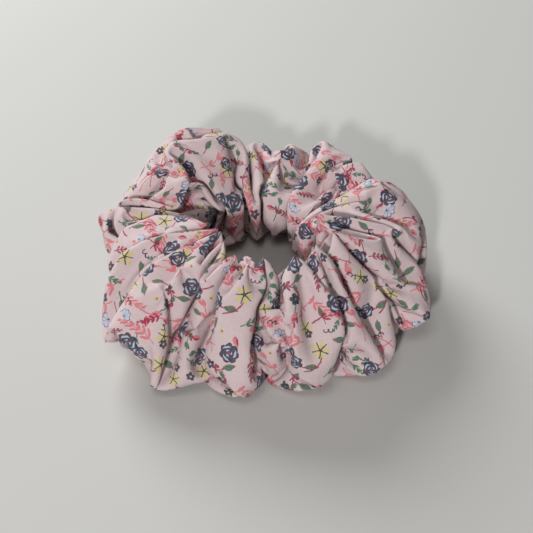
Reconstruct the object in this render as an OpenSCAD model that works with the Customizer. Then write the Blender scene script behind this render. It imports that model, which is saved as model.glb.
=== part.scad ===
// Scrunchie: a tube of printed cotton, sewn from one long strip and gathered round a loop of
// flat elastic. It lies on a surface, with its hole pointing up. The cover is drawn in two
// halves, near (-Y) and far (+Y), which draw apart along Y as the elastic stretches.
// The origin is on the surface, at the centre of the ring. Lengths are in millimetres.

/* [Ring] */
// Radius from the ring's centre to the middle of the gathered tube
ring_r = 40; // [36:0.5:44]
// Radius of the gathered tube's round section
tube_r = 19.5; // [18:0.5:20]
// Depth by which the tube's underside is pressed flat where it lies
rest_flat = 1; // [0.5:0.1:2]
// Gap between the two halves of the cover at rest
half_gap = 0.4; // [0.3:0.1:0.8]

/* [Cover] */
// Thickness of the gathered cloth between the tube's outside and the elastic's channel
cloth_wall = 5; // [4:0.1:5]
// Thickness of the sewing thread
thread_d = 0.4; // [0.2:0.05:0.5]
// Where the long seam runs round the tube's section, counted from the outside of the ring
long_seam_angle = 235; // [200:5:340]
// Where the ends of the tube and of the elastic are joined, counted round the ring from +X
join_angle = -60; // [-80:5:-30]

/* [Elastic] */
// Radius from the ring's centre to the middle of the elastic, which lies against the hole's side
elastic_r = 29; // [29:0.1:31]
// Width of the flat elastic
elastic_w = 8; // [5:0.5:8]
// Thickness of the flat elastic
elastic_t = 1.2; // [0.8:0.1:1.5]
// Length by which the elastic's two ends overlap
overlap = 12; // [8:1:16]
// Number of bar stitches that hold the overlapped ends
bar_count = 4; // [2:1:5]
// Length of each bar stitch across the elastic
bar_length = 5.6; // [3:0.2:7]

/* [Hidden] */

$fn = 96;
tube_z = tube_r - rest_flat;
channel_r = tube_r - cloth_wall;
thread_r = thread_d / 2;
// Clearance between a thread and the cloth wall beside it
thread_gap = 0.05;
long_seam_r = channel_r - thread_r - thread_gap;
closing_seam_r = long_seam_r - thread_d - 2 * thread_gap;
overlap_sweep = overlap / elastic_r * 180 / PI;
bar_pitch = overlap_sweep / (bar_count + 1);
span = 2 * (ring_r + tube_r) + 10;

cloth_pink = [0.86, 0.77, 0.78];
cloth_rose = [0.84, 0.73, 0.75];
elastic_white = [0.93, 0.92, 0.90];
thread_pink = [0.80, 0.66, 0.69];
thread_white = [0.97, 0.97, 0.95];

// Keeps what lies on one side of the gap between the halves: side is -1 for near, 1 for far
module half(side) {
    intersection() {
        children();
        translate([-span / 2, side > 0 ? half_gap / 2 : -span - half_gap / 2, -span / 2])
            cube(span);
    }
}

// The gathered tube all the way round, hollow where the elastic runs and flat where it lies
module gathered_tube() {
    rotate_extrude()
        difference() {
            translate([ring_r, tube_z])
                circle(tube_r);
            translate([ring_r, tube_z])
                circle(channel_r);
            translate([0, -tube_r])
                square([ring_r + tube_r, tube_r]);
        }
}

// One thread that runs round the ring, inside the tube, at an angle round the tube's section
module thread_ring(section_angle) {
    rotate_extrude()
        translate([ring_r + long_seam_r * cos(section_angle), tube_z + long_seam_r * sin(section_angle)])
            circle(thread_r, $fn = 24);
}

// One bar stitch: a closed loop of thread round both layers of the elastic, centred on the origin
module bar_stitch() {
    depth = 2 * elastic_t + thread_d;
    for (side = [-1, 1]) {
        translate([side * depth / 2, 0, -bar_length / 2 - thread_r])
            cylinder(r = thread_r, h = bar_length + thread_d, $fn = 24);
        translate([-depth / 2, 0, side * bar_length / 2])
            rotate([0, 90, 0])
                cylinder(r = thread_r, h = depth, $fn = 24);
    }
}

module cover_near() {
    color(cloth_pink)
        half(-1)
            gathered_tube();
}

module cover_far() {
    color(cloth_rose)
        half(1)
            gathered_tube();
}

// A closed loop with a second layer over the stretch where its ends overlap
module elastic() {
    color(elastic_white) {
        rotate_extrude()
            translate([elastic_r - elastic_t / 2, tube_z - elastic_w / 2])
                square([elastic_t, elastic_w]);
        rotate([0, 0, join_angle - overlap_sweep / 2])
            rotate_extrude(angle = overlap_sweep)
                translate([elastic_r + elastic_t / 2 - 0.01, tube_z - elastic_w / 2])
                    square([elastic_t + 0.01, elastic_w]);
    }
}

module elastic_join() {
    color(thread_white)
        for (i = [1 : bar_count])
            rotate([0, 0, join_angle - overlap_sweep / 2 + i * bar_pitch])
                translate([elastic_r + elastic_t / 2, 0, tube_z])
                    bar_stitch();
}

module long_seam_near() {
    color(thread_pink)
        half(-1)
            thread_ring(long_seam_angle);
}

module long_seam_far() {
    color(thread_pink)
        half(1)
            thread_ring(long_seam_angle);
}

// The thread that closes the tube's two ends on each other, round the inside of the tube
module closing_seam() {
    color(thread_pink)
        rotate([0, 0, join_angle])
            translate([ring_r, 0, tube_z])
                rotate([90, 0, 0])
                    rotate_extrude()
                        translate([closing_seam_r, 0])
                            circle(thread_r, $fn = 24);
}

cover_near();
cover_far();
elastic();
elastic_join();
long_seam_near();
long_seam_far();
closing_seam();
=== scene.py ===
import math

import bpy
import numpy as np
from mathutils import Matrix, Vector


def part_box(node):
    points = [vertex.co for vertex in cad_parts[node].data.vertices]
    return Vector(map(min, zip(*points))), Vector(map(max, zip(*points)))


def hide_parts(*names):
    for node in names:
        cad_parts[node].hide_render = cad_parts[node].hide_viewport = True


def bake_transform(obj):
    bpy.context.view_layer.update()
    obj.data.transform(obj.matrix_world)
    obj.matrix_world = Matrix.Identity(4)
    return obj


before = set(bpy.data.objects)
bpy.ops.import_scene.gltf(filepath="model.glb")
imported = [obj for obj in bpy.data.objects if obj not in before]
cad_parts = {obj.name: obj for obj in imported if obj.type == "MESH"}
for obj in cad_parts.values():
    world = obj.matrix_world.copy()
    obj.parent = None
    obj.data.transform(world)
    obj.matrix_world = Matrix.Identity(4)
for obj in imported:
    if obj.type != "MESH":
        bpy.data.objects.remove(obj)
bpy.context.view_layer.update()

# ---------------------------------------------------------------- sizes, in millimetres unless named _M
MM = 0.001
TAU = 2 * math.pi

_, cover_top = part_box("cover_near")
elastic_low, elastic_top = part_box("elastic")
OUTER_R = cover_top[0] / MM                       # outside of the ring
TUBE_Z = cover_top[2] / MM / 2                    # middle of the tube's height
TUBE_R = 19.5                                     # radius of the gathered tube's section
RING_R = OUTER_R - TUBE_R - 1.0                   # centre of the ring to the middle of the tube
ELASTIC_T = 1.2
ELASTIC_R = elastic_top[0] / MM - ELASTIC_T / 2   # middle of the elastic
ELASTIC_W = (elastic_top[2] - elastic_low[2]) / MM
ELASTIC_Z = (elastic_top[2] + elastic_low[2]) / MM / 2
JOIN_ANGLE = math.radians(-60)                    # where the tube's and the elastic's ends are joined

# The cloth tube, laid flat. Its length is worked out below from the puffs' cloth
TUBE_GIRTH = 130.0
SEAM_ANGLE = math.radians(235)                    # the long seam, counted round the section from outside
SEAM_ALLOWANCE, ALLOWANCE_STEPS = 6.0, 4          # cloth turned in along each side of the long seam
SEAM_PINCH = 0.35                                 # how far stitching draws the cloth in
UV_PER_MM = 0.01
THREAD_R = 0.2
LAP = 12.0                                        # overlap of the elastic's ends
ROWS, COLUMNS = 450, 100                          # grid points along the tube and round it

# The gathers, counter-clockwise from FIRST_CREASE: where each puff ends (degrees), the cloth in it
# (mm) and how far it stands out from the middle of the tube (mm)
FIRST_CREASE = -35
PUFFS = [
    (-12, 36, 20), (36, 58, 19.5), (47, 26, 18), (74, 42, 19.5), (84, 24, 18.5), (97, 28, 19.5),
    (160, 78, 22), (182, 36, 20), (200, 32, 20), (214, 28, 19.5), (238, 46, 22.5), (251, 26, 20.5),
    (271, 36, 21.5), (277, 18, 20.5), (300, 38, 21.5), (312, 26, 20.5), (325, 26, 20.5),
]
CLOTH_SHARE = 0.92                                # the strip's length, as a share of the cloth listed above
TUBE_LENGTH = float(sum(cloth for _, cloth, _ in PUFFS)) * CLOTH_SHARE

# Corners where the cloth was plucked out, and hollows where it was tucked in: angle round the ring,
# angle round the section from outside over the top (degrees), distance from the middle of the tube (mm)
TIPS = [
    (122, 48, 24), (108, 45, 20), (165, 5, 22), (217, -12, 28), (237, -26, 29), (262, -34, 23),
    (289, -36, 21.5), (311, -28, 25), (331, -9, 25), (125, 205, 23), (98, 208, 24), (80, 205, 23),
    (55, 200, 24), (22, 190, 28), (6, 160, 28), (347, 135, 28), (195, 140, 25), (210, 140, 27),
    (224, 132, 28), (238, 122, 26), (252, 108, 25),
    (262, 108, 24.5), (270, 108, 25), (288, 105, 25), (304, 108, 26), (322, 112, 26), (20, 72, 19),
    (204, 5, 15), (202, 50, 15), (200, 95, 16), (78, 60, 13), (80, 105, 14), (45, 55, 13.5), (45, 100, 15),
    (277, 65, 16), (276, 25, 15), (298, 30, 16), (298, 70, 17), (213, 75, 16), (227, 55, 16), (228, 85, 18),
    (145, 80, 16), (148, 115, 17), (10, 100, 17), (350, 70, 17),
]


# ---------------------------------------------------------------- cloth solver
# Positions are an array (3, ROWS, COLUMNS). Both grid directions close on themselves.

def pull(a, b, rest, strength):
    """Move two sets of points towards their rest distance."""
    gap = b - a
    length = np.sqrt((gap * gap).sum(0)) + 1e-9
    gap *= (0.5 * strength) * (length - rest) / length
    a += gap
    b -= gap


def hold_threads(X, along, across, shear):
    """Keep the warp and weft at their length, and the squares nearly square."""
    pull(X[:, 0::2], X[:, 1::2], along, 1.0)
    pull(X[:, 1:-1:2], X[:, 2::2], along, 1.0)
    pull(X[:, -1], X[:, 0], along, 1.0)
    pull(X[:, :, 0::2], X[:, :, 1::2], across, 1.0)
    pull(X[:, :, 1:-1:2], X[:, :, 2::2], across, 1.0)
    pull(X[:, :, -1], X[:, :, 0], across, 1.0)
    if shear:
        bias = math.hypot(along, across)
        for a, b in ((X[:, 0::2], X[:, 1::2]), (X[:, 1:-1:2], X[:, 2::2]), (X[:, -1:], X[:, :1])):
            pull(a[:, :, :-1], b[:, :, 1:], bias, shear)
            pull(a[:, :, -1], b[:, :, 0], bias, shear)
            pull(a[:, :, 1:], b[:, :, :-1], bias, shear)
            pull(a[:, :, 0], b[:, :, -1], bias, shear)


def stiffen(X, amount):
    """Resist bending in both directions."""
    for axis in (1, 2):
        curve = np.roll(X, 1, axis) + np.roll(X, -1, axis) - 2 * X
        X += amount * (0.5 * curve - 0.25 * (np.roll(curve, 1, axis) + np.roll(curve, -1, axis)))


def close_pairs(points, reach):
    """Pairs of grid points nearer than reach that aren't neighbours in the cloth."""
    cell = np.floor(points / reach).astype(np.int64)
    cell -= cell.min(1, keepdims=True) - 1
    size = cell.max(1) + 2
    key = (cell[0] * size[1] + cell[1]) * size[2] + cell[2]
    order = np.argsort(key, kind="stable")
    key = key[order]
    index = np.arange(len(key))
    firsts, seconds = [], []
    near = (-1, 0, 1)
    steps = [(x, y, z) for x in near for y in near for z in near if (x, y, z) >= (0, 0, 0)]
    for x, y, z in steps:
        target = key + (x * size[1] + y) * size[2] + z
        low = index + 1 if (x, y, z) == (0, 0, 0) else np.searchsorted(key, target, side="left")
        count = np.searchsorted(key, target, side="right") - low
        a = np.repeat(index, count)
        rank = np.arange(len(a)) - np.repeat(np.cumsum(count) - count, count)
        firsts.append(a)
        seconds.append(np.repeat(low, count) + rank)
    a, b = order[np.concatenate(firsts)], order[np.concatenate(seconds)]
    gap = points[:, a] - points[:, b]
    rows = np.abs(a // COLUMNS - b // COLUMNS)
    columns = np.abs(a % COLUMNS - b % COLUMNS)
    far_rows = np.minimum(rows, ROWS - rows) > 2
    far_columns = np.minimum(columns, COLUMNS - columns) > 2
    keep = ((gap * gap).sum(0) < reach * reach) & (far_rows | far_columns)
    return a[keep], b[keep]


def push_apart(X, pairs, thickness):
    """Push layers of cloth apart where they come too close. Some in the tightest folds still cross."""
    points = X.reshape(3, -1)
    a, b = pairs
    gap = points[:, a] - points[:, b]
    length = np.sqrt((gap * gap).sum(0)) + 1e-9
    touch = length < thickness
    a, b, gap, length = a[touch], b[touch], gap[:, touch], length[touch]
    gap *= 0.5 * (thickness - length) / length
    count = points.shape[1]
    share = 0.9 / np.sqrt(np.maximum(np.bincount(a, minlength=count) + np.bincount(b, minlength=count), 1))
    for axis in range(3):
        push = np.bincount(a, gap[axis], count) - np.bincount(b, gap[axis], count)
        points[axis] += share * push


def inward(X):
    """Unit normals of the grid, pointing into the tube."""
    along_rows = np.roll(X, -1, 1) - np.roll(X, 1, 1)
    along_columns = np.roll(X, -1, 2) - np.roll(X, 1, 2)
    normal = np.cross(along_rows, along_columns, axis=0)
    return normal / (np.sqrt((normal * normal).sum(0)) + 1e-9)


def gather_tube(seed=2, gather_steps=300, settle_steps=120, passes=5, bend=0.05, swell=0.012, crease=9.0,
                slip=12.0, ruck=0.8, puff_start=2.0, settle_bend=0.02, pluck=0.25):
    """Sew a straight tube on the open elastic, and let the elastic draw it in to its gathers."""
    along, across = TUBE_LENGTH / ROWS, TUBE_GIRTH / COLUMNS
    thickness = 0.97 * min(along, across)
    random = np.random.default_rng(seed)
    u = np.arange(ROWS) * along
    column = np.arange(COLUMNS)
    v = np.minimum(column, COLUMNS - column) * across
    cloth = np.array([p[1] for p in PUFFS]) * TUBE_LENGTH / sum(p[1] for p in PUFFS)
    ends = np.concatenate([[0], np.cumsum(cloth)])
    angles = np.radians([FIRST_CREASE] + [p[0] for p in PUFFS])
    final_angle = np.interp(u, ends, angles)
    start_angle = TAU * np.arange(ROWS) / ROWS + math.radians(FIRST_CREASE)
    puff = np.clip(np.searchsorted(ends, u, side="right") - 1, 0, len(PUFFS) - 1)
    inside = (u - ends[puff]) / cloth[puff]
    reach = np.array([p[2] for p in PUFFS])[puff]
    window = np.hanning(15) / np.hanning(15).sum()
    reach = np.convolve(np.concatenate([reach[-7:], reach, reach[:7]]), window, "valid")
    reach = np.repeat(reach[:, None], COLUMNS, 1)
    tips = []
    for tip_angle, tip_section, distance in TIPS:
        a = math.radians((tip_angle - FIRST_CREASE) % 360 + FIRST_CREASE)
        row = int(round(np.interp(a, angles, ends) / along)) % ROWS
        tip_column = int(round((180 - tip_section) / 360 * COLUMNS)) % COLUMNS
        rows = [(row + k) % ROWS for k in (-1, 0, 1)]
        columns = [(tip_column + k) % COLUMNS for k in (-1, 0, 1)]
        du = np.abs(np.arange(ROWS) - row)
        dv = np.abs(column - tip_column)
        du, dv = np.minimum(du, ROWS - du) * along, np.minimum(dv, COLUMNS - dv) * across
        near = np.exp(-(du[:, None] ** 2 + dv[None, :] ** 2) / (2 * 9.0 ** 2))
        reach = np.maximum(reach, reach + near * (distance + 1 - reach))
        tips.append((np.ix_((0, 1, 2), rows, columns), a, math.radians(tip_section), distance))
    near_crease = np.min(np.abs(u[:, None] - ends[None, :]), 1) < 2.4

    # The tube starts upright and flattened on a wide ring, with no wrinkles but a slight swell
    angle, section = np.meshgrid(start_angle, math.pi - TAU * column / COLUMNS, indexing="ij")
    swells = np.zeros_like(angle)
    for n in range(6, 40):
        for m in range(0, 4):
            size = random.normal() / (1 + m) * ruck * 0.5
            along_wave = np.sin(n * angle + random.uniform(0, TAU))
            swells += size * along_wave * np.cos(m * section + random.uniform(0, TAU))
    swells += puff_start * (np.sin(math.pi * inside[:, None]) - 0.6)
    start_r, half_w, half_h = TUBE_LENGTH / TAU * 0.97, 5.0, 26.6
    start_z = half_h + 1
    rho = start_r + (half_w + swells) * np.cos(section)
    height = start_z + (half_h + 0.3 * swells) * np.sin(section)
    X = np.stack([rho * np.cos(angle), rho * np.sin(angle), height])

    on_elastic = np.where(v <= 4.5)[0]
    strip_column = column[on_elastic]
    flat_z = np.where(strip_column <= COLUMNS // 2, strip_column, strip_column - COLUMNS) * across
    creased = near_crease[:, None] & (v > 14)[None, :]
    V = np.zeros_like(X)
    pairs = None
    for step in range(gather_steps + settle_steps):
        done = min(1.0, (step + 1) / gather_steps)
        done = done * done * (3 - 2 * done)
        elastic_r = start_r - half_w + (ELASTIC_R - 1.5 - start_r + half_w) * done
        ring_r = start_r + (RING_R - start_r) * done
        z = start_z + (TUBE_Z - start_z) * done
        bound = reach + 14 * (1 - done)
        target = (start_angle + (final_angle - start_angle) * done)[:, None]
        V *= 0.90
        V[2] -= 0.004
        before = X.copy()
        X += V
        X -= inward(X) * (swell if step < gather_steps else 0.3 * swell)
        if step % 4 == 0:
            pairs = close_pairs(X.reshape(3, -1), thickness + 0.6)
        for turn in range(passes):
            hold_threads(X, along, across, 0.15 if turn % 2 == 0 else 0)
            stiffen(X, bend if step < gather_steps else settle_bend)
            # the strip on the elastic stays on its hole side, near its own place round the ring
            strip = X[:, :, on_elastic]
            r = np.hypot(strip[0], strip[1])
            strip[:2] *= 1 - np.maximum(r - elastic_r, 0) / r
            slide = (np.arctan2(strip[1], strip[0]) - target + math.pi) % TAU - math.pi
            slide -= np.clip(slide, -slip / elastic_r, slip / elastic_r)
            c, s = np.cos(0.5 * slide), np.sin(0.5 * slide)
            strip[0], strip[1] = strip[0] * c + strip[1] * s, strip[1] * c - strip[0] * s
            strip[2] += 0.1 * (flat_z + z - strip[2])
            X[:, :, on_elastic] = strip
            X[2] = np.maximum(X[2], 0.0)
            for place, a, section_angle, distance in tips:
                out = ring_r + distance * math.cos(section_angle)
                up = max(z + distance * math.sin(section_angle), 0.5)
                goal = (out * math.cos(a), out * math.sin(a), up)
                X[place] += pluck * done * (np.array(goal)[:, None, None] - X[place])
            # puffs stay within reach of the tube's middle, and creases are drawn in towards it
            r = np.hypot(X[0], X[1])
            out, up = r - ring_r, X[2] - z
            away = np.hypot(out, up)
            keep = np.minimum(1, 1 - 0.3 * (away - bound) / away)
            if step < gather_steps:
                drawn = np.minimum(1, 1 - 0.15 * done * (away - crease) / away)
                keep = np.where(creased, np.minimum(keep, drawn), keep)
            X[:2] *= (ring_r + out * keep) / r
            X[2] = z + up * keep
            push_apart(X, pairs, thickness)
        V = X - before
        V /= np.maximum(np.sqrt((V * V).sum(0)) / 0.8, 1)
    return X


# ---------------------------------------------------------------- meshes

def new_piece(name, points, faces, smooth=True):
    """A mesh object from points in millimetres."""
    mesh = bpy.data.meshes.new(name)
    mesh.from_pydata((np.asarray(points, float) * MM).tolist(), [], [tuple(f) for f in faces])
    mesh.polygons.foreach_set("use_smooth", [smooth] * len(mesh.polygons))
    piece = bpy.data.objects.new(name, mesh)
    bpy.context.collection.objects.link(piece)
    return piece


def finish_mesh(piece, levels):
    """Subdivide, and keep the result as the piece's own mesh."""
    modifier = piece.modifiers.new("round", "SUBSURF")
    modifier.levels = modifier.render_levels = levels
    modifier.boundary_smooth = "PRESERVE_CORNERS"
    bpy.context.view_layer.update()
    mesh = bpy.data.meshes.new_from_object(piece.evaluated_get(bpy.context.evaluated_depsgraph_get()))
    piece.modifiers.clear()
    old = piece.data
    piece.data = mesh
    bpy.data.meshes.remove(old)
    mesh.name = piece.name


def tube_along(paths, radius, sides=6):
    """Round threads along open paths (arrays of points), with closed ends, as points and faces."""
    points, faces = [], []
    for path in paths:
        path = np.asarray(path, float)
        tangent = np.gradient(path, axis=0)
        tangent /= np.linalg.norm(tangent, axis=1, keepdims=True) + 1e-12
        helper = np.array([0, 0, 1.0]) if abs(tangent[0][2]) < 0.9 else np.array([1.0, 0, 0])
        side = np.cross(tangent, helper)
        side /= np.linalg.norm(side, axis=1, keepdims=True) + 1e-12
        other = np.cross(tangent, side)
        base = len(points)
        for k in range(len(path)):
            end = 0.55 if k in (0, len(path) - 1) else 1.0
            for s in range(sides):
                a = TAU * s / sides
                points.append(path[k] + radius * end * (math.cos(a) * side[k] + math.sin(a) * other[k]))
        for k in range(len(path) - 1):
            for s in range(sides):
                a, b = base + k * sides + s, base + k * sides + (s + 1) % sides
                faces.append((a, b, b + sides, a + sides))
        faces.append(tuple(base + s for s in reversed(range(sides))))
        faces.append(tuple(base + (len(path) - 1) * sides + s for s in range(sides)))
    return points, faces


def seam_column():
    return round(COLUMNS * ((math.pi - SEAM_ANGLE) / TAU % 1.0)) % COLUMNS


def turned_in(X):
    """Unit directions from the long seam to the middle of the tube, which its allowance follows."""
    line = X[:, :, seam_column()]
    turn = np.arctan2(line[1], line[0])
    way = np.stack([RING_R * np.cos(turn), RING_R * np.sin(turn), np.full(ROWS, TUBE_Z)]) - line
    return (way / np.sqrt((way * way).sum(0))).T


def join_row(X):
    """The row of the grid nearest to where the tube's ends are joined."""
    middle = X.mean(2)
    turn = np.arctan2(middle[1], middle[0]) - JOIN_ANGLE
    return int(np.argmin(np.abs((turn + math.pi) % TAU - math.pi)))


def crisped(X):
    """A grid whose rounded surface passes close to the points of X, so that little cloth is lost."""
    rounded = X
    for axis in (1, 2):
        rounded = (4 * rounded + np.roll(rounded, 1, axis) + np.roll(rounded, -1, axis)) / 6
    crisp = 2 * X - rounded
    crisp[2] = np.maximum(crisp[2], 0.0)
    return crisp


def make_cover(X):
    """The printed cotton tube: one layer of cloth, open along its long seam, with both edges turned in."""
    X = X.copy()
    start, seam = join_row(X), seam_column()
    X[:, start] += inward(X)[:, start] * SEAM_PINCH
    fold = turned_in(X)
    X[:, :, seam] += fold.T * SEAM_PINCH
    X = crisped(X)
    rows = [(start + k) % ROWS for k in range(ROWS)]
    order = [(seam + k) % COLUMNS for k in range(COLUMNS + 1)]
    cloth = np.moveaxis(X[:, rows][:, :, order], 0, 2)
    fold = fold[rows]
    across_seam = cloth[:, 1] - cloth[:, -2]
    across_seam /= np.linalg.norm(across_seam, axis=1, keepdims=True) + 1e-9
    step = SEAM_ALLOWANCE / ALLOWANCE_STEPS
    first, last = [], []
    for k in range(1, ALLOWANCE_STEPS + 1):
        first.insert(0, cloth[:, 0] + fold * step * k + across_seam * 0.15)
        last.append(cloth[:, -1] + fold * step * k - across_seam * 0.15)
    cloth = np.concatenate([np.stack(first, 1), cloth, np.stack(last, 1)], axis=1)
    wide = cloth.shape[1]
    along, across = TUBE_LENGTH / ROWS, TUBE_GIRTH / COLUMNS
    flat = [-SEAM_ALLOWANCE + step * k for k in range(ALLOWANCE_STEPS)]
    flat += [across * k for k in range(COLUMNS + 1)]
    flat += [TUBE_GIRTH + step * k for k in range(1, ALLOWANCE_STEPS + 1)]
    faces, coords = [], []
    for i in range(ROWS):
        n = (i + 1) % ROWS
        for j in range(wide - 1):
            faces.append((i * wide + j, i * wide + j + 1, n * wide + j + 1, n * wide + j))
            u = i * along
            coords += [(u, flat[j]), (u, flat[j + 1]), (u + along, flat[j + 1]), (u + along, flat[j])]
    piece = new_piece("cotton_cover", cloth.reshape(-1, 3), faces)
    layer = piece.data.uv_layers.new(name="Print")
    layer.data.foreach_set("uv", (np.array(coords) * UV_PER_MM).ravel())
    finish_mesh(piece, 1)
    return piece


def make_elastic():
    """A flat braided band, wound once round with its ends overlapped, ribbed along its length."""
    half_lap = LAP / ELASTIC_R / 2
    turns = np.linspace(JOIN_ANGLE - half_lap, JOIN_ANGLE + half_lap + TAU, 420)
    ribs = 9
    across = np.linspace(-0.5, 0.5, 4 * ribs + 1)
    points, faces = [], []
    for k, turn in enumerate(turns):
        climb = np.clip((turn - (JOIN_ANGLE + TAU - 3 * half_lap)) / (2 * half_lap), 0, 1)
        r = ELASTIC_R + (ELASTIC_T + 0.05) * climb * climb * (3 - 2 * climb)
        braid = 0.06 * math.sin(turn * ELASTIC_R * TAU / 1.6)
        for side in (1, -1):
            for t in across[::side]:
                crest = abs(math.cos(math.pi * ribs * t)) * 0.16 + braid * math.cos(TAU * ribs * t / 2)
                edge = math.sqrt(max(1 - (2 * abs(t)) ** 10, 0.04))
                rho = r + side * (ELASTIC_T / 2 - 0.2 + crest) * edge
                points.append((rho * math.cos(turn), rho * math.sin(turn), ELASTIC_Z + t * ELASTIC_W))
    loop = 2 * len(across)
    for k in range(len(turns) - 1):
        for j in range(loop):
            n = (j + 1) % loop
            faces.append((k * loop + j, k * loop + n, (k + 1) * loop + n, (k + 1) * loop + j))
    faces.append(tuple(reversed(range(loop))))
    faces.append(tuple((len(turns) - 1) * loop + j for j in range(loop)))
    return new_piece("braided_elastic", points, faces)


def make_elastic_join():
    """Zigzag stitches through both layers of the overlapped elastic, seen on its two faces."""
    paths = []
    half_lap = 0.8 * LAP / ELASTIC_R / 2
    bends = 17
    for r in (ELASTIC_R - ELASTIC_T / 2, ELASTIC_R + 1.5 * ELASTIC_T + 0.05):
        path = []
        for k in range(4 * bends + 1):
            turn = JOIN_ANGLE - half_lap + 2 * half_lap * k / (4 * bends)
            swing = 1 - abs((k / 2) % 2 - 1) * 2
            path.append((r * math.cos(turn), r * math.sin(turn), ELASTIC_Z + swing * 0.32 * ELASTIC_W))
        paths.append(path)
    points, faces = tube_along(paths, THREAD_R)
    return new_piece("elastic_zigzag", points, faces)


def stitch(a, b, lift):
    """One visible stitch from a to b, raised on lift in its middle."""
    share = np.linspace(0.06, 0.94, 5)[:, None]
    return a + (b - a) * share + lift * np.sin(math.pi * share) * 0.12


def make_long_seam(X):
    """The lockstitch that joins the strip's long edges, on both faces of the turned-in allowance."""
    seam = seam_column()
    line = X[:, :, seam].T + turned_in(X) * (SEAM_PINCH + 1.2)
    sideways = X[:, :, (seam + 1) % COLUMNS].T - X[:, :, seam - 1].T
    sideways /= np.linalg.norm(sideways, axis=1, keepdims=True) + 1e-9
    paths = []
    for i in range(0, ROWS, 2):
        n = (i + 2) % ROWS
        for side in (1, -1):
            shift = side * (0.15 + THREAD_R)
            a, b = line[i] + sideways[i] * shift, line[n] + sideways[n] * shift
            paths.append(stitch(a, b, sideways[i] * side))
    points, faces = tube_along(paths, THREAD_R)
    return new_piece("long_seam_stitches", points, faces)


def make_closing_seam(X):
    """Small ladder stitches round the section, where the tube's two ends are closed on each other."""
    row = join_row(X)
    out = -inward(X)
    paths = []
    for j in range(0, COLUMNS, 2):
        a, b = X[:, row - 1, j], X[:, (row + 1) % ROWS, j]
        middle = (a + b) / 2
        lift = out[:, row, j]
        paths.append(stitch(middle + (a - middle) * 0.6, middle + (b - middle) * 0.6, lift))
    points, faces = tube_along(paths, THREAD_R)
    return new_piece("closing_seam_stitches", points, faces)


# ---------------------------------------------------------------- shader graph helper

class Graph:
    """Short names for building a node tree: node makes a node, and the others return output sockets."""

    def __init__(self, tree):
        self.tree = tree

    def node(self, kind, inputs=(), **settings):
        node = self.tree.nodes.new(kind)
        for key, value in settings.items():
            setattr(node, key, value)
        for key, value in dict(inputs).items():
            if isinstance(value, bpy.types.NodeSocket):
                self.tree.links.new(value, node.inputs[key])
            else:
                node.inputs[key].default_value = value
        return node

    def math(self, operation, a, b=0.0, c=0.0, clamp=False):
        node = self.node("ShaderNodeMath", {0: a, 1: b, 2: c}, operation=operation, use_clamp=clamp)
        return node.outputs[0]

    def vector(self, operation, a, b=(0, 0, 0), c=(0, 0, 0)):
        return self.node("ShaderNodeVectorMath", {0: a, 1: b, 2: c}, operation=operation).outputs[0]

    def mix(self, share, a, b):
        node = self.node("ShaderNodeMix", data_type="RGBA")
        for socket, value in ((node.inputs[0], share), (node.inputs[6], a), (node.inputs[7], b)):
            if isinstance(value, bpy.types.NodeSocket):
                self.tree.links.new(value, socket)
            else:
                socket.default_value = value
        return node.outputs[2]

    def noise(self, vector, scale, detail=2.0, output=0):
        inputs = {"Vector": vector, "Scale": scale, "Detail": detail}
        return self.node("ShaderNodeTexNoise", inputs).outputs[output]

    def inside(self, distance, edge=0.12):
        """1 where a distance is below zero, with an edge as soft as ink on cloth."""
        return self.math("MULTIPLY_ADD", distance, -1 / edge, 0.5, clamp=True)

    def both(self, a, b):
        """The distance to where two shapes overlap."""
        return self.math("MAXIMUM", a, b)

    def either(self, a, b):
        """The distance to two shapes together."""
        return self.math("MINIMUM", a, b)

    def less(self, a, b):
        return self.math("SUBTRACT", a, b)

    def size(self, a):
        return self.math("ABSOLUTE", a)

    def xy(self, vector):
        split = self.node("ShaderNodeSeparateXYZ", {0: vector})
        return split.outputs[0], split.outputs[1]

    def radius(self, x, y):
        square = self.math("MULTIPLY", y, y)
        return self.math("SQRT", self.math("MULTIPLY_ADD", x, x, square))


def motif(name, inks):
    """A decorator: the function draws one motif of the print, in millimetres, as a node group. The group
    puts it in its place in the repeat, and lays it over the shapes drawn so far: for each ink, a
    distance that is below zero where the ink is."""
    def build(draw):
        tree = bpy.data.node_groups.new(name, "ShaderNodeTree")
        for socket in ("U", "V", "X", "Y", "Cos", "Sin", *inks):
            tree.interface.new_socket(socket, in_out="INPUT", socket_type="NodeSocketFloat")
        for ink in inks:
            tree.interface.new_socket(ink, in_out="OUTPUT", socket_type="NodeSocketFloat")
        g = Graph(tree)
        given = g.node("NodeGroupInput").outputs
        away = g.less(given["U"], given["X"])
        u = g.math("WRAP", away, REPEAT[0] / 2, -REPEAT[0] / 2)
        drop = -DROP * REPEAT[1] / REPEAT[0]
        dropped = g.math("MULTIPLY_ADD", g.less(away, u), drop, g.less(given["V"], given["Y"]))
        v = g.math("WRAP", dropped, REPEAT[1] / 2, -REPEAT[1] / 2)
        x = g.math("MULTIPLY_ADD", u, given["Cos"], g.math("MULTIPLY", v, given["Sin"]))
        y = g.less(g.math("MULTIPLY", v, given["Cos"]), g.math("MULTIPLY", u, given["Sin"]))
        shapes = draw(g, x, y)
        sink = g.node("NodeGroupOutput")
        for ink in inks:
            tree.links.new(g.either(given[ink], shapes[ink]), sink.inputs[ink])
        return tree
    return build


def ring(g, r, radius, half):
    """A band of half-width half at a distance radius."""
    return g.less(g.size(g.less(r, radius)), half)


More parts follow.
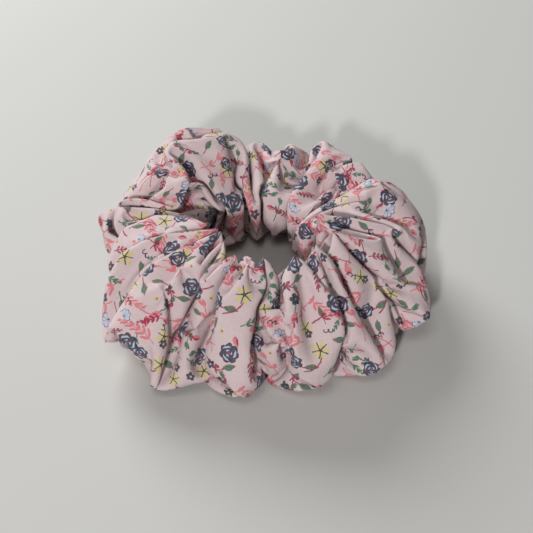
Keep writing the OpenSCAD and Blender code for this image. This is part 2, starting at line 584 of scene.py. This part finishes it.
def spray(g, x, y, length, pitch, leaf, width, lean, bow, stem=0.16):
    """A bowed stem along x with a row of leaflets on both sides."""
    y = g.math("MULTIPLY_ADD", g.math("MULTIPLY", x, x), bow, y)
    side = g.size(y)
    root = g.math("MULTIPLY_ADD", side, -1 / math.tan(lean), x)
    share = g.math("MULTIPLY", root, 1 / length)
    taper = g.math("SQRT", g.math("MAXIMUM", g.less(1.02, share), 0.02))
    across = g.math("PINGPONG", root, pitch / 2)
    reach = g.math("DIVIDE", g.math("MULTIPLY", side, 2 / (leaf * math.sin(lean))), taper)
    hump = g.less(reach, 1.0)
    hump = g.math("MULTIPLY", g.math("MULTIPLY", hump, hump), width)
    leaflet = g.less(g.math("MULTIPLY_ADD", across, math.sin(lean), hump), width)
    ends = g.less(g.size(g.less(share, 0.55)), 0.45)
    leaflet = g.both(leaflet, g.math("MULTIPLY", ends, length))
    line = g.both(g.less(side, stem), ring(g, x, length / 2, length / 2))
    return g.either(leaflet, line)


def lens(g, x, y, half, width):
    """A pointed leaf along x, centred on the origin."""
    swell = g.math("MULTIPLY", g.math("MULTIPLY", x, x), width / half ** 2)
    return g.less(g.math("ADD", g.size(y), swell), width)


def petals(g, x, y, count, size, depth, turn=0.0):
    """A flower with rounded petals: its distance, and the polar coordinates it was drawn with."""
    angle = g.math("MULTIPLY_ADD", g.math("ARCTAN2", y, x), count / 2, turn)
    wave = g.size(g.math("COSINE", angle))
    edge = g.math("MULTIPLY_ADD", wave, size * depth, size * (1 - depth))
    r = g.radius(x, y)
    return g.less(r, edge), r, angle


def arc(g, x, y, radius, half, top):
    """The lower part of a circle that stands on the origin."""
    return g.both(ring(g, g.radius(x, g.less(y, radius)), radius, half), g.less(y, top))


def make_motifs():
    @motif("frond", ["coral"])
    def frond(g, x, y):
        return {"coral": spray(g, x, y, 15.5, 2.5, 4.2, 0.62, math.radians(40), 0.018, 0.2)}

    @motif("fern", ["crimson"])
    def fern(g, x, y):
        return {"crimson": spray(g, x, y, 9, 1.8, 2.5, 0.44, math.radians(48), -0.03, 0.22)}

    @motif("sprig", ["green"])
    def sprig(g, x, y):
        return {"green": spray(g, x, y, 7, 2.2, 2.6, 0.5, math.radians(38), 0.02, 0.22)}

    @motif("branch", ["coral"])
    def branch(g, x, y):
        return {"coral": spray(g, x, y, 17, 5.2, 3.9, 0.85, math.radians(48), 0.035, 0.26)}

    @motif("stalk", ["crimson"])
    def stalk(g, x, y):
        return {"crimson": spray(g, x, y, 13, 4.4, 2.6, 0.6, math.radians(55), -0.05, 0.24)}

    @motif("twig", ["green"])
    def twig(g, x, y):
        return {"green": spray(g, x, y, 10, 4.0, 3.4, 0.8, math.radians(45), 0.03, 0.22)}

    @motif("vine", ["coral"])
    def vine(g, x, y):
        return {"coral": arc(g, x, y, 12.0, 0.28, 4.5)}

    @motif("tendril", ["crimson"])
    def tendril(g, x, y):
        return {"crimson": arc(g, x, y, 7.0, 0.24, 2.6)}

    @motif("leaf", ["green", "crimson"])
    def leaf(g, x, y):
        shape = lens(g, x, y, 2.3, 0.95)
        stalk = g.both(g.less(g.size(y), 0.2), ring(g, x, -3.4, 1.6))
        under = g.both(g.both(g.less(shape, 0.3), g.less(y, 0.3)), g.less(0.02, shape))
        return {"green": shape, "crimson": g.either(under, stalk)}

    @motif("rose", ["navy", "pale", "crimson"])
    def rose(g, x, y):
        outline, r, angle = petals(g, x, y, 7, 3.6, 0.2)
        swirl = g.math("SINE", g.math("MULTIPLY_ADD", r, 2.2, g.math("MULTIPLY", angle, 6 / 7)))
        arcs = g.both(ring(g, r, 2.25, 0.3), swirl)
        heart = g.both(ring(g, r, 0.95, 0.22), g.math("MULTIPLY", swirl, -1.0))
        return {"navy": g.both(outline, g.less(0.45, r)), "pale": g.either(arcs, heart),
                "crimson": g.less(r, 0.45)}

    @motif("lily", ["yellow", "navy"])
    def lily(g, x, y):
        outline, r, angle = petals(g, x, y, 5, 3.3, 0.86)
        spokes = g.less(g.math("MULTIPLY", g.size(g.math("COSINE", angle)), r), 0.5)
        spokes = g.both(spokes, g.less(r, 2.9))
        return {"yellow": outline, "navy": g.either(spokes, g.less(r, 0.55))}

    @motif("daisy", ["navy"])
    def daisy(g, x, y):
        outline, r, _ = petals(g, x, y, 5, 2.0, 0.42, 0.6)
        return {"navy": g.both(outline, g.less(0.4, r))}

    @motif("curls", ["navy"])
    def curls(g, x, y):
        r = g.radius(g.less(g.size(x), 1.0), y)
        return {"navy": g.both(ring(g, r, 0.9, 0.24), g.less(y, 0.45))}

    @motif("fan", ["pale", "navy"])
    def fan(g, x, y):
        outline, r, angle = petals(g, x, y, 9, 3.2, 0.2)
        veins = g.less(g.math("MULTIPLY", g.size(g.math("COSINE", angle)), r), 0.3)
        half = g.both(g.less(-0.4, y), g.less(outline, 0.1))
        return {"pale": g.both(half, g.less(0.1, g.either(veins, ring(g, outline, 0.0, 0.2)))),
                "navy": g.both(half, g.either(veins, ring(g, outline, 0.0, 0.2)))}

    @motif("berry", ["yellow", "crimson"])
    def berry(g, x, y):
        dot = g.radius(g.less(x, 0.25), y)
        core = ring(g, dot, 0.35, 0.2)
        disc = g.less(g.radius(x, y), 1.15)
        return {"yellow": g.both(disc, g.math("MULTIPLY", core, -1.0)), "crimson": core}

    @motif("bud", ["coral", "crimson"])
    def bud(g, x, y):
        body = lens(g, x, y, 2.0, 1.0)
        return {"coral": body, "crimson": g.both(body, g.less(0.2, y))}

    drawn = (frond, fern, sprig, branch, stalk, twig, vine, tendril, leaf, rose, lily, daisy, curls, fan,
             berry, bud)
    return {tree.name: tree for tree in drawn}


# The print's repeat, and its motifs: (kind, x, y, turn in degrees, size)
REPEAT = (50.0, 48.0)
DROP = 0.42                                       # each repeat is set lower by this share of its height
MOTIFS = [
    ("vine", 21, 33, 40, 0.8), ("vine", 45, 12, -110, 0.7), ("tendril", 6, 10, -70, 0.9),
    ("tendril", 33, 25, 130, 1), ("twig", 42, 30, 30, 1), ("twig", 12, 44, 200, 0.9),
    ("twig", 25, 7, -50, 0.9), ("twig", 4, 33, 120, 0.9), ("frond", 3, 7, 20, 1),
    ("frond", 28, 17, 200, 0.95), ("frond", 43, 34, 100, 1), ("frond", 12, 40, -35, 0.9),
    ("frond", 34, 4, 55, 0.8), ("frond", 19, 26, 150, 0.75), ("branch", 17, 9, 15, 1),
    ("branch", 40, 26, 110, 0.9), ("branch", 7, 33, -80, 0.9), ("branch", 26, 38, 190, 0.8),
    ("stalk", 9, 17, 160, 1), ("stalk", 33, 12, -30, 1), ("stalk", 45, 45, 60, 0.9),
    ("stalk", 22, 43, 20, 1), ("stalk", 47, 17, 210, 0.9), ("fern", 38, 41, 75, 1),
    ("fern", 10, 24, -60, 0.9), ("fern", 26, 7, 120, 1), ("fern", 47, 7, 10, 0.8),
    ("sprig", 21, 17, 80, 0.9), ("sprig", 2, 45, 30, 0.9), ("sprig", 34, 31, -20, 1),
    ("sprig", 43, 12, 140, 0.7), ("leaf", 15, 3, 40, 1), ("leaf", 7, 12, 110, 0.9), ("leaf", 30, 26, 10, 1),
    ("leaf", 25, 31, -70, 0.9), ("leaf", 41, 19, 200, 1), ("leaf", 48, 29, 80, 0.9),
    ("leaf", 17, 46, 150, 0.9), ("leaf", 31, 45, -20, 1), ("leaf", 3, 26, 30, 0.8),
    ("leaf", 37, 9, 260, 0.8), ("bud", 22, 12, 60, 1), ("bud", 5, 38, 10, 0.9), ("bud", 41, 2, 130, 0.8),
    ("bud", 33, 36, 250, 0.9), ("fan", 47, 39, 20, 0.9), ("fan", 14, 14, 200, 0.8),
    ("rose", 19, 22, 0, 1.1), ("rose", 24, 24, 70, 0.86), ("rose", 43, 7, 130, 1),
    ("rose", 2, 19, 40, 0.92), ("rose", 31, 40, 10, 0.97), ("rose", 10, 45, 200, 0.86),
    ("lily", 34, 21, 0, 1), ("lily", 9, 3, 40, 0.9), ("lily", 16, 34, 100, 1), ("lily", 47, 24, 20, 0.8),
    ("daisy", 27, 3, 0, 1), ("daisy", 13, 29, 30, 0.9), ("daisy", 40, 36, 60, 1), ("daisy", 3, 3, 10, 0.8),
    ("daisy", 31, 15, 0, 0.8), ("curls", 12, 9, 20, 0.9), ("curls", 38, 15, 190, 0.8),
    ("curls", 45, 30, 90, 0.9), ("curls", 23, 34, 0, 0.9), ("curls", 7, 42, 150, 0.8),
    ("curls", 28, 10, 80, 0.8), ("berry", 41, 44, 0, 1), ("berry", 43, 45, 120, 0.8),
    ("berry", 21, 4, 0, 0.8), ("berry", 8, 21, 60, 0.8), ("berry", 28, 33, 0, 0.7),
    ("daisy", 24, 45, 50, 0.9), ("daisy", 48, 20, 10, 0.8), ("rose", 15, 36, 90, 0.8),
    ("lily", 30, 13, 70, 0.9),
]
INKS = {
    "coral": (0.64, 0.17, 0.20, 1), "crimson": (0.32, 0.018, 0.06, 1), "yellow": (0.62, 0.53, 0.24, 1),
    "green": (0.048, 0.165, 0.09, 1), "navy": (0.034, 0.037, 0.066, 1), "pale": (0.50, 0.56, 0.70, 1),
}
INK_ORDER = ["coral", "green", "crimson", "yellow", "navy", "pale"]


def cloth_material():
    """Printed plain-weave cotton: the print is worked out from the cloth's flat coordinates."""
    material = bpy.data.materials.new("printed_cotton")
    material.use_nodes = True
    tree = material.node_tree
    g = Graph(tree)
    shader = tree.nodes["Principled BSDF"]
    flat = g.vector("SCALE", g.node("ShaderNodeUVMap", uv_map="Print").outputs[0])
    flat.node.inputs["Scale"].default_value = 1 / UV_PER_MM

    # hand-drawn edges: the print's coordinates wander a little
    wander = g.noise(flat, 0.55, 3.0, 1)
    drawn = g.vector("MULTIPLY_ADD", wander, (0.9, 0.9, 0.0), flat)

    groups = make_motifs()
    shapes = {ink: 9.0 for ink in INK_ORDER}
    drawn_u, drawn_v = g.xy(drawn)
    for kind, x, y, turn, size in MOTIFS:
        turn = math.radians(turn)
        inks = [output.name for output in groups[kind].interface.items_tree if output.in_out == "OUTPUT"]
        given = {"U": drawn_u, "V": drawn_v, "X": x, "Y": y}
        given.update({"Cos": math.cos(turn) / size, "Sin": math.sin(turn) / size})
        given.update({ink: shapes[ink] for ink in inks})
        drawing = g.node("ShaderNodeGroup", given, node_tree=groups[kind])
        shapes.update({ink: drawing.outputs[ink] for ink in inks})

    mottle = g.noise(flat, 0.12, 4.0)
    colour = g.mix(mottle, (0.61, 0.48, 0.494, 1), (0.65, 0.52, 0.533, 1))
    worn = g.math("MULTIPLY_ADD", g.noise(flat, 1.6, 3.0), 0.5, 0.66, clamp=True)
    for ink in INK_ORDER:
        colour = g.mix(g.math("MULTIPLY", g.inside(shapes[ink]), worn), colour, INKS[ink])

    # the weave: warp and weft crests, painted lighter on their tops and darker between them as painted
    # shade, and slubs that run along the threads
    u, v = g.xy(flat)
    thread = TAU / 0.42
    warp = g.math("SINE", g.math("MULTIPLY", u, thread))
    weft = g.math("SINE", g.math("MULTIPLY", v, thread))
    weave = g.math("MULTIPLY", warp, weft)
    slub_u = g.noise(g.vector("MULTIPLY", flat, (0.15, 2.6, 1.0)), 1.0, 2.0)
    slub_v = g.noise(g.vector("MULTIPLY", flat, (2.6, 0.15, 1.0)), 1.0, 2.0)
    slub = g.math("ADD", slub_u, slub_v)
    # painted shade: the weave's checker of crests and hollows lightens and darkens the colour by 3.5%, on
    # top of the slubs' tone
    tone = g.math("MULTIPLY_ADD", weave, 0.035, g.math("MULTIPLY_ADD", slub, 0.16, 0.84))
    shade = g.node("ShaderNodeVectorMath", {0: colour, 3: tone}, operation="SCALE").outputs[0]
    tree.links.new(shade, shader.inputs["Base Color"])
    height = g.math("MULTIPLY_ADD", slub, 0.8, g.math("MULTIPLY", weave, 0.35))
    crumple = g.noise(flat, 0.28, 3.0)
    height = g.math("MULTIPLY_ADD", crumple, 4.5, height)
    bump = g.node("ShaderNodeBump", {"Strength": 0.5, "Distance": 0.00022, "Height": height})
    tree.links.new(bump.outputs[0], shader.inputs["Normal"])
    shader.inputs["Roughness"].default_value = 0.86
    shader.inputs["Specular IOR Level"].default_value = 0.25
    shader.inputs["Sheen Weight"].default_value = 0.12
    shader.inputs["Sheen Roughness"].default_value = 0.5
    return material


def thread_material(name, colour):
    """Twisted polyester thread: fine diagonal ply lines, with painted shade in the grooves between the
    plies, and a soft shine.
    """
    material = bpy.data.materials.new(name)
    material.use_nodes = True
    g = Graph(material.node_tree)
    shader = material.node_tree.nodes["Principled BSDF"]
    place = g.node("ShaderNodeTexCoord").outputs["Object"]
    ply = g.node("ShaderNodeTexWave", {"Vector": place, "Scale": 900.0, "Distortion": 1.5, "Detail": 1.0},
                 bands_direction="DIAGONAL").outputs["Fac"]
    # painted shade: the grooves between the plies are painted 18% darker than the thread's own colour
    painted_ply_shade = tuple(c * 0.82 for c in colour[:3]) + (1,)
    material.node_tree.links.new(g.mix(ply, painted_ply_shade, colour), shader.inputs["Base Color"])
    bump = g.node("ShaderNodeBump", {"Strength": 0.5, "Distance": 0.00008, "Height": ply})
    material.node_tree.links.new(bump.outputs[0], shader.inputs["Normal"])
    shader.inputs["Roughness"].default_value = 0.55
    shader.inputs["Sheen Weight"].default_value = 0.2
    return material


def elastic_material():
    """White braided elastic: matte polyester over rubber, with the plait's crossing strands and painted
    shade in the grooves between them.
    """
    material = bpy.data.materials.new("elastic_braid")
    material.use_nodes = True
    g = Graph(material.node_tree)
    shader = material.node_tree.nodes["Principled BSDF"]
    place = g.node("ShaderNodeTexCoord").outputs["Object"]
    wave = {"Vector": place, "Scale": 420.0, "Distortion": 2.0, "Detail": 2.0}
    strands = g.node("ShaderNodeTexWave", wave, bands_direction="Z").outputs["Fac"]
    grain = g.noise(place, 2500.0, 3.0)
    height = g.math("MULTIPLY_ADD", grain, 0.6, strands)
    # painted shade: the braid's low grooves are painted grey, and its raised strands keep the white of the
    # elastic
    tone = g.mix(height, (0.62, 0.61, 0.58, 1), (0.84, 0.83, 0.80, 1))
    material.node_tree.links.new(tone, shader.inputs["Base Color"])
    bump = g.node("ShaderNodeBump", {"Strength": 0.6, "Distance": 0.00015, "Height": height})
    material.node_tree.links.new(bump.outputs[0], shader.inputs["Normal"])
    shader.inputs["Roughness"].default_value = 0.8
    shader.inputs["Sheen Weight"].default_value = 0.1
    return material


# ---------------------------------------------------------------- floor, light and camera

def plain(name, colour, rough):
    material = bpy.data.materials.new(name)
    material.use_nodes = True
    shader = material.node_tree.nodes["Principled BSDF"]
    shader.inputs["Base Color"].default_value = colour
    shader.inputs["Roughness"].default_value = rough
    return material


def look(target, place):
    return (Vector(target) - Vector(place)).to_track_quat("-Z", "Y").to_euler()


def make_floor():
    side = 3000.0
    floor = new_piece("floor", [(-side, -side, 0), (side, -side, 0), (side, side, 0), (-side, side, 0)],
                      [(0, 1, 2, 3)], smooth=False)
    floor.data.materials.append(plain("pale_floor", (0.535, 0.53, 0.512, 1), 0.75))


def area_light(name, place, size, power, colour):
    light = bpy.data.lights.new(name, "AREA")
    light.shape = "DISK"
    light.size = size
    light.energy = power
    light.color = colour
    lamp = bpy.data.objects.new(name, light)
    bpy.context.collection.objects.link(lamp)
    lamp.location = place
    lamp.rotation_euler = look((0, 0, 0.02), place)


def make_camera(azimuth, elevation, distance, lens_mm, target):
    data = bpy.data.cameras.new("camera")
    data.lens = lens_mm
    data.dof.use_dof = False
    camera = bpy.data.objects.new("camera", data)
    bpy.context.collection.objects.link(camera)
    a, e = math.radians(azimuth), math.radians(elevation)
    way = Vector((math.sin(a) * math.cos(e), -math.cos(a) * math.cos(e), math.sin(e)))
    camera.location = Vector(target) + way * distance
    camera.rotation_euler = look(target, camera.location)
    bpy.context.scene.camera = camera


def make_world():
    world = bpy.data.worlds.new("soft_sky")
    world.use_nodes = True
    background = world.node_tree.nodes["Background"]
    background.inputs["Color"].default_value = (0.93, 0.95, 1.0, 1)
    background.inputs["Strength"].default_value = 0.09
    bpy.context.scene.world = world


def place_piece(piece, material, slot, *nodes):
    """Give a piece its finish, hide the CAD nodes it stands in for, and bake its placement into its mesh.
    """
    piece.data.materials.clear()
    piece.data.materials.append(material)
    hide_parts(*nodes)
    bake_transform(piece)


X = gather_tube()
pink_thread = thread_material("pink_thread", (0.62, 0.42, 0.46, 1))
white_thread = thread_material("white_thread", (0.80, 0.80, 0.77, 1))
cover = make_cover(X)
place_piece(cover, cloth_material(), "printed_cotton", "cover_near", "cover_far")
place_piece(make_elastic(), elastic_material(), "elastic_braid", "elastic")
place_piece(make_elastic_join(), white_thread, "white_thread", "elastic_join")
place_piece(make_long_seam(X), pink_thread, "sewing_thread", "long_seam_near", "long_seam_far")
place_piece(make_closing_seam(X), pink_thread, "sewing_thread", "closing_seam")

make_floor()
make_world()
make_camera(0, 43, 0.455, 87, (0.001, -0.006, 0.016))
area_light("lamp_in_front", (-0.42, -1.63, 0.98), 0.16, 22, (1.0, 0.99, 0.98))
area_light("window_behind", (-0.50, 0.86, 0.58), 0.70, 14.0, (0.98, 1.0, 0.99))
area_light("ceiling", (-0.12, -0.52, 1.05), 0.45, 2.6, (1.0, 0.97, 0.94))
bpy.context.scene.view_settings.view_transform = "Standard"
